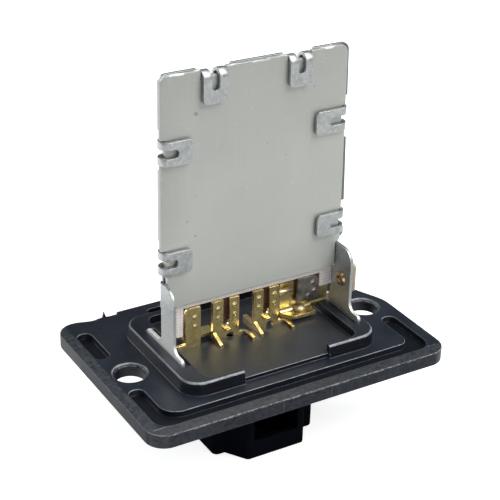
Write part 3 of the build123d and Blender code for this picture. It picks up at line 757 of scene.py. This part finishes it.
# %% [markdown]
# ## Brass and copper
#
# The terminals are stamped brass, a little tarnished. Where the punch sheared the sheet, the cut
# edges are warmer, so the faces that look sideways get a coppery tint. Plain gold colour would look
# like paint, because worn brass is uneven in colour, gloss and relief together. So one cloud of
# tarnish drives all three. The rivet is worn copper, and the short lead of the cut-out is tinned,
# both made the same way with colours of their own.

# %% Brass
BRASS_BRIGHT = (0.97, 0.79, 0.36)
BRASS_TARNISHED = (0.66, 0.52, 0.22)
SHEARED_COPPERY = (0.62, 0.34, 0.16)
BRASS_PAINTED_HIGHLIGHT = (1.0, 0.92, 0.66)

brass = new_finish("stamped_brass", (0.8, 0.64, 0.32), 0.34, 0.9)
tarnish = clouds(brass, 1.4 * MM, 4.0)
tone = blend(brass, between(brass, tarnish, 0.35, 0.65), BRASS_BRIGHT, BRASS_TARNISHED)
tone = blend(brass, scaled(brass, facing(brass, "X"), 0.55), tone, SHEARED_COPPERY)
# painted highlight: the edges of the brass are painted pale gold
tone = blend(brass, scaled(brass, edge_mask(brass, 0.12 * MM), 0.5), tone, BRASS_PAINTED_HIGHLIGHT)
scored = clouds(brass, 0.18 * MM, 2.0, (1.0, 1.0, 8.0))
rough = added(brass, scaled(brass, tarnish, 0.24), 0.12)
to_shader(brass, Base_Color=tone, Roughness=rough,
          Normal=relief(brass, scored, 0.004 * MM, relief(brass, tarnish, 0.03 * MM)))
print("brass done")

# %% Worn copper
COPPER_DARK = (0.42, 0.27, 0.13)
COPPER_WARM = (0.78, 0.58, 0.36)
COPPER_EDGE = (0.95, 0.8, 0.56)

copper = new_finish("worn_copper", (0.72, 0.45, 0.25), 0.32, 1.0)
tarnish = clouds(copper, 0.6 * MM, 3.0)
tone = blend(copper, between(copper, tarnish, 0.35, 0.65), COPPER_DARK, COPPER_WARM)
tone = blend(copper, scaled(copper, edge_mask(copper, 0.3 * MM), 0.7), tone, COPPER_EDGE)
rough = added(copper, scaled(copper, tarnish, 0.3), 0.15)
to_shader(copper, Base_Color=tone, Roughness=rough, Normal=relief(copper, tarnish, 0.008 * MM))
print("copper done")

# %% Tinned lead
TIN_DULL = (0.52, 0.4, 0.21)
TIN_PALE = (0.84, 0.72, 0.46)

tinned = new_finish("tinned_lead", (0.8, 0.74, 0.58), 0.3, 0.9)
dulled = clouds(tinned, 0.5 * MM, 3.0)
to_shader(tinned, Base_Color=blend(tinned, dulled, TIN_DULL, TIN_PALE),
          Normal=relief(tinned, dulled, 0.03 * MM))
print("tinned lead done")

# %% [markdown]
# ## Dark alloy and woven sheet
#
# Between the plates lie two sheets of woven glass and one of dark alloy, which is browned by heat
# where it comes out below the plates. Real threads would be thousands of tiny pieces, and only a
# narrow edge and two tongues of the sheet show. So the weave is two sets of waves that cross, one
# each way, at the real pitch of 0.7 mm, and their product is high where a thread is on top.

# %% Dark alloy sheet
ALLOY_DARK = (0.09, 0.1, 0.12)
ALLOY_PALE = (0.2, 0.22, 0.26)
HEATED_BELOW = (11.5 * MM, 10.5 * MM)
HEAT_BROWN = (0.2, 0.09, 0.045)

foil = new_finish("resistor_sheet", (0.13, 0.14, 0.16), 0.35, 0.9)
rolled = clouds(foil, 0.8 * MM, 3.0, (10.0, 1.0, 1.0))
tone = blend(foil, rolled, ALLOY_DARK, ALLOY_PALE)
heated = between(foil, along(foil, "Z"), *HEATED_BELOW)
tone = blend(foil, scaled(foil, heated, 0.85), tone, HEAT_BROWN)
dull = added(foil, scaled(foil, rolled, 0.3), 0.22)
to_shader(foil, Base_Color=tone, Roughness=dull, Normal=relief(foil, rolled, 0.01 * MM))
print("dark alloy done")

# %% Woven sheet
THREAD_PITCH = 0.7 * MM
WAVES_PER_METRE = 20.0 / (2.0 * math.pi)
BETWEEN_THREADS = (0.86, 0.78, 0.74)
THREAD_WHITE = (1.0, 0.97, 0.94)
STAIN_BROWN = (0.55, 0.42, 0.34)

woven = new_finish("woven_insulation", (0.62, 0.58, 0.5), 0.75)
threads = []
for direction in ("X", "Z"):
    wave = add_node(woven, "TexWave")
    wave.bands_direction = direction
    wave.inputs["Scale"].default_value = 1.0 / (WAVES_PER_METRE * THREAD_PITCH)
    wave.inputs["Distortion"].default_value = 0.8
    link(woven, object_place(woven), wave.inputs["Vector"])
    threads.append(wave.outputs["Fac"])
weave = both(woven, *threads)
stain = clouds(woven, 2.5 * MM, 3.0)
tone = blend(woven, between(woven, weave, 0.05, 0.5), BETWEEN_THREADS, THREAD_WHITE)
tone = blend(woven, between(woven, stain, 0.5, 1.3), tone, STAIN_BROWN)
to_shader(woven, Base_Color=tone, Normal=relief(woven, weave, 0.035 * MM))
print("woven sheet done:", len(threads), "sets of threads")

# %% [markdown]
# ## Tan strip, leaf and solder
#
# Three small parts are left: the strip of pressed fibre outside the right ear, the steel leaf of the
# cut-out, which heat has toned, and the bead of solder that holds it. Each could take the finish of
# a neighbour, but they meet there side by side and would run together, so each gets its own colours,
# and one cloud that gives it its relief too.

# %% Tan strip
FIBRE_DARK = (0.3, 0.25, 0.17)
FIBRE_PALE = (0.62, 0.55, 0.42)

tan = new_finish("tan_strip", (0.62, 0.52, 0.36), 0.7)
fibre = clouds(tan, 0.4 * MM, 4.0, (1.0, 1.0, 3.0))
to_shader(tan, Base_Color=blend(tan, fibre, FIBRE_DARK, FIBRE_PALE), Normal=relief(tan, fibre, 0.04 * MM))
print("tan strip done")

# %% Leaf
LEAF_DARK = (0.28, 0.255, 0.215)
LEAF_PALE = (0.52, 0.49, 0.44)

leaf = new_finish("leaf_steel", (0.4, 0.4, 0.38), 0.35, 1.0)
heat = clouds(leaf, 2.0 * MM, 4.0)
tone = blend(leaf, between(leaf, heat, 0.35, 0.65), LEAF_DARK, LEAF_PALE)
dull = added(leaf, scaled(leaf, heat, 0.3), 0.2)
to_shader(leaf, Base_Color=tone, Roughness=dull, Normal=relief(leaf, heat, 0.03 * MM))
print("leaf done")

# %% Solder
SOLDER_DARK = (0.42, 0.35, 0.22)
SOLDER_PALE = (0.8, 0.7, 0.46)

solder = new_finish("solder", (0.6, 0.58, 0.52), 0.5, 1.0)
skin = clouds(solder, 0.5 * MM, 3.0)
to_shader(solder, Base_Color=blend(solder, skin, SOLDER_DARK, SOLDER_PALE),
          Normal=relief(solder, skin, 0.04 * MM))
print("solder done")

# %% [markdown]
# ## Soft edges
#
# The model's edges are perfectly sharp, and a sharp edge never catches light. Real mouldings and
# stampings are rounded by a tenth of a millimetre or so. A Bevel node could fake that in the finish,
# but the outline would stay sharp, so the edges are really rounded. A CAD node's own mesh is never
# changed: each piece is copied, its loose triangles are merged and joined into flat faces, and a
# Bevel modifier rounds the edges that turn by more than a given angle. At 60 degrees it leaves the
# facets of the bends alone. The moulding has chamfers as well, so it takes 35. Where edges meet in a
# narrow corner the modifier can throw a corner far out, so each one that ends up further from the
# model than the rounding is wide is put back on its surface. The copy then stands for the node.

# %% Closed copy of a node
SAME_CORNER = 0.001 * MM
SAME_FLAT = math.radians(0.5)


def only(piece):
    """Make this the one selected and active object."""
    bpy.ops.object.select_all(action="DESELECT")
    piece.select_set(True)
    bpy.context.view_layer.objects.active = piece


def closed_copy(name):
    """Copy a node's mesh and close it: one vertex per corner, one face per flat."""
    piece = bpy.data.objects.new("soft_" + name, nodes[name].data.copy())
    bpy.context.collection.objects.link(piece)
    only(piece)
    bpy.ops.object.mode_set(mode="EDIT")
    bpy.ops.mesh.select_all(action="SELECT")
    bpy.ops.mesh.remove_doubles(threshold=SAME_CORNER)
    bpy.ops.mesh.dissolve_limited(angle_limit=SAME_FLAT)
    bpy.ops.object.mode_set(mode="OBJECT")
    return piece


print("copies will be merged within", SAME_CORNER, "m")

# %% Rounded edges
ROUND_SEGMENTS = 2
SMOOTH_BELOW = math.radians(50)


def pull_back(piece, surface, width):
    """Put the corners that the rounding threw off the model's surface back on it."""
    thrown = 0
    for vertex in piece.data.vertices:
        near, _, _, away = surface.find_nearest(vertex.co)
        if away > width:
            vertex.co = near
            thrown += 1
    return thrown


def soften(piece, width, angle):
    """Round the edges that turn by more than the angle, and shade the flats flat."""
    only(piece)
    shape = bmesh.new()
    shape.from_mesh(piece.data)
    surface = BVHTree.FromBMesh(shape)
    shape.free()
    rounding = piece.modifiers.new("rounding", "BEVEL")
    rounding.width = width
    rounding.segments = ROUND_SEGMENTS
    rounding.limit_method = "ANGLE"
    rounding.angle_limit = math.radians(angle)
    rounding.use_clamp_overlap = False
    bpy.ops.object.modifier_apply(modifier="rounding")
    print(piece.name, "corners put back:", pull_back(piece, surface, width))
    bpy.ops.object.shade_smooth_by_angle(angle=SMOOTH_BELOW)
    weights = piece.modifiers.new("weights", "WEIGHTED_NORMAL")
    weights.keep_sharp = True
    bpy.ops.object.modifier_apply(modifier="weights")


print("rounding in", ROUND_SEGMENTS, "segments")

# %% A piece that stands for a node
def stand_for(piece, name, finish):
    """Give the piece its finish, attach it to the root body and hide the node that it stands for."""
    piece.data.materials.clear()
    piece.data.materials.append(finish)
    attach(piece, "root")
    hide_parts(name)


print("nodes to stand for:", len(nodes))

# %% [markdown]
# ## A rough moulded edge
#
# The back edge of the flange isn't straight on the real part: beside the left corner the trimmed
# flash left a shallow hollow that ends in a small step. Noise could roughen the whole edge, but this
# is one mark in one place. So the two long back edges are subdivided, and the new corners at their
# left end are moved to places that were read off, each with its own depth.

# %% Hollow in the back edge
SAME_PLACE = 0.01 * MM
LONG_EDGE = 15 * MM
PAST_ROUND_CORNER = -30.5 * MM
HOLLOW_STEP = -20.3
# x and depth of each corner, in millimetres
HOLLOW_CORNERS = (
    (-29.6, 0.1), (-28.3, 0.5), (-27.0, 0.85), (-25.8, 0.95), (-24.9, 0.7),
    (-23.6, 0.6), (-22.4, 0.85), (HOLLOW_STEP - 0.2, 0.8), (HOLLOW_STEP, 0.0),
)


def select_long_back_edges(mesh, back_y):
    """Select only the long edges that lie on the back face, and count them."""
    for part in (*mesh.vertices, *mesh.polygons):
        part.select = False
    for edge in mesh.edges:
        ends = [mesh.vertices[index].co for index in edge.vertices]
        lies_back = all(abs(end.y - back_y) < SAME_PLACE for end in ends)
        edge.select = lies_back and (ends[0] - ends[1]).length > LONG_EDGE
    return sum(edge.select for edge in mesh.edges)


def rough_back_edge(piece):
    """Subdivide the long edges at the back of the flange and push their left part in."""
    only(piece)
    mesh = piece.data
    back_y = max(vertex.co.y for vertex in mesh.vertices)
    found = select_long_back_edges(mesh, back_y)
    bpy.ops.object.mode_set(mode="EDIT")
    bpy.context.tool_settings.mesh_select_mode = (False, True, False)
    bpy.ops.mesh.subdivide(number_cuts=len(HOLLOW_CORNERS))
    bpy.ops.object.mode_set(mode="OBJECT")
    on_edge = [v for v in mesh.vertices if abs(v.co.y - back_y) < SAME_PLACE and v.co.x > PAST_ROUND_CORNER]
    for level_z in sorted({round(v.co.z, 6) for v in on_edge}):
        row = sorted((v for v in on_edge if round(v.co.z, 6) == level_z), key=lambda v: v.co.x)
        if len(row) > len(HOLLOW_CORNERS):
            for vertex, (x, depth) in zip(row, HOLLOW_CORNERS):
                vertex.co.x = x * MM
                vertex.co.y = back_y - depth * MM
    print("rough back edge:", found, "edges,", len(on_edge), "corners")


print("hollow:", len(HOLLOW_CORNERS), "corners")

# %% [markdown]
# ## All the softened pieces
#
# Each piece of the real part has an edge of its own: thick nylon and aluminium are rounded most, and
# thin woven sheet least. The pieces could be softened one by one, but the steps are the same, so a
# table gives the width in millimetres, the angle, the finish and the slot of each. Two pieces get
# something more on the way: the base its rough back edge, and the woven sheet a right tongue that
# reaches a quarter of a millimetre further, up to the ear, as it does on the real part.

# %% Soften the pieces
SHARP = 60
CHAMFERED = 35
TONGUE_OUTER_X = 20.55 * MM
TONGUE_TOP = 16 * MM
TONGUE_REACH = 0.25 * MM
# node, width of the rounding in millimetres, angle in degrees, finish, slot
SOFT_PIECES = (
    ("base", 0.14, CHAMFERED, moulding, "moulding"),
    ("front_plate", 0.14, SHARP, sheet, "sheet_aluminium"),
    ("back_plate", 0.08, SHARP, zinc, "plated_steel"),
    ("front_insulation", 0.05, SHARP, woven, "woven_insulation"),
    ("ear_rivet", 0.09, SHARP, copper, "copper"),
    ("ear_pad", 0.12, SHARP, tan, "tan_strip"),
    *((f"terminal_{number}", 0.06, SHARP, brass, "stamped_brass") for number in (1, 2, 3, 4)),
    ("fuse_leaf", 0.07, SHARP, leaf, "leaf_steel"),
    ("fuse_lead", 0.08, SHARP, tinned, "copper"),
)

for name, width, angle, finish, slot in SOFT_PIECES:
    piece = closed_copy(name)
    if name == "base":
        rough_back_edge(piece)
    if name == "front_insulation":
        for vertex in piece.data.vertices:
            if vertex.co.x > TONGUE_OUTER_X and vertex.co.z < TONGUE_TOP:
                vertex.co.x += TONGUE_REACH
    soften(piece, width * MM, angle)
    stand_for(piece, name, finish)
    print(piece.name, len(piece.data.polygons), "faces")

# %% [markdown]
# ## Spike of flash
#
# In the hollow of the back edge one spike of flash still stands up, where nylon squeezed out of the
# mould and tore off. A smooth cone would look like a pin. So a blunt cone with five sides is
# subdivided with a little seeded noise, and its corners are pushed back further the higher they are.

# %% Spike
SPIKE_FOOT = 0.6 * MM
SPIKE_TIP = 0.12 * MM
SPIKE_HEIGHT = 1.4 * MM
SPIKE_PLACE = (-23.5 * MM, 22.6 * MM, 0.4 * MM)
SPIKE_LEAN = 0.25

bpy.ops.mesh.primitive_cone_add(vertices=5, radius1=SPIKE_FOOT, radius2=SPIKE_TIP, depth=SPIKE_HEIGHT,
                                location=SPIKE_PLACE)
spike = bpy.context.object
spike.name = "flash_spike"
bpy.ops.object.transform_apply(location=True, rotation=True, scale=True)
only(spike)
bpy.ops.object.mode_set(mode="EDIT")
bpy.ops.mesh.select_all(action="SELECT")
bpy.ops.mesh.subdivide(number_cuts=2, fractal=0.35, seed=4)
bpy.ops.object.mode_set(mode="OBJECT")
for vertex in spike.data.vertices:
    vertex.co.y += SPIKE_LEAN * max(0.0, vertex.co.z)
bpy.ops.object.shade_flat()
spike.data.materials.append(moulding)
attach(spike, "root")
print("flash spike:", len(spike.data.polygons), "faces")

# %% [markdown]
# ## Solder bead
#
# Molten solder wets both metals, so it has a wide foot, a low round top and no flat anywhere. It
# could be sculpted, but a ball is near enough to start from: it is flattened into the place of the
# plain bead in the model, each ring is drawn out more the lower it lies, and a little seeded noise
# in the vertices keeps it from looking turned.

# %% Bead from a ball
BEAD_SPREAD = 0.68
BEAD_FLARE = 0.35
BEAD_RIPPLE = 0.02
BEAD_DEPTH = 0.8
BEAD_FOOT = 0.05 * MM
BEAD_SINK = 0.7

bead_low, bead_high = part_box("fuse_solder")
bead_middle = (bead_low + bead_high) / 2
bead_width = bead_high.x - bead_low.x
bead_height = bead_high.z - bead_low.z
bpy.ops.mesh.primitive_uv_sphere_add(segments=28, ring_count=16, radius=1.0, location=(0.0, 0.0, 0.0))
bead = bpy.context.object
bead.name = "solder_bead"
chance = random.Random(7)
for vertex in bead.data.vertices:
    rise = (vertex.co.z + 1) / 2
    flare = 1.0 + BEAD_FLARE * (1 - rise) ** 2
    ripple = 1.0 + chance.uniform(-BEAD_RIPPLE, BEAD_RIPPLE)
    spread = BEAD_SPREAD * bead_width * flare * ripple
    vertex.co = Vector((bead_middle.x + vertex.co.x * spread,
                        bead_middle.y + vertex.co.y * spread * BEAD_DEPTH,
                        bead_low.z - BEAD_FOOT + rise * bead_height * BEAD_SINK))
only(bead)
bpy.ops.object.shade_smooth()
stand_for(bead, "fuse_solder", solder)
print("solder bead:", len(bead.data.polygons), "faces")

# %% [markdown]
# ## Pieces that stay
#
# The rear woven sheet and the alloy sheet lie between the plates, and only thin edges and a few
# strips of them show. A softened copy of each would change nothing in the picture, so the model's
# own pieces stay and take their finish.

# %% Finishes of the pieces that stay as they are
for name, finish in (("rear_insulation", woven), ("resistor_element", foil)):
    for socket in nodes[name].material_slots:
        socket.material = finish
    print(name, "takes", finish.name)
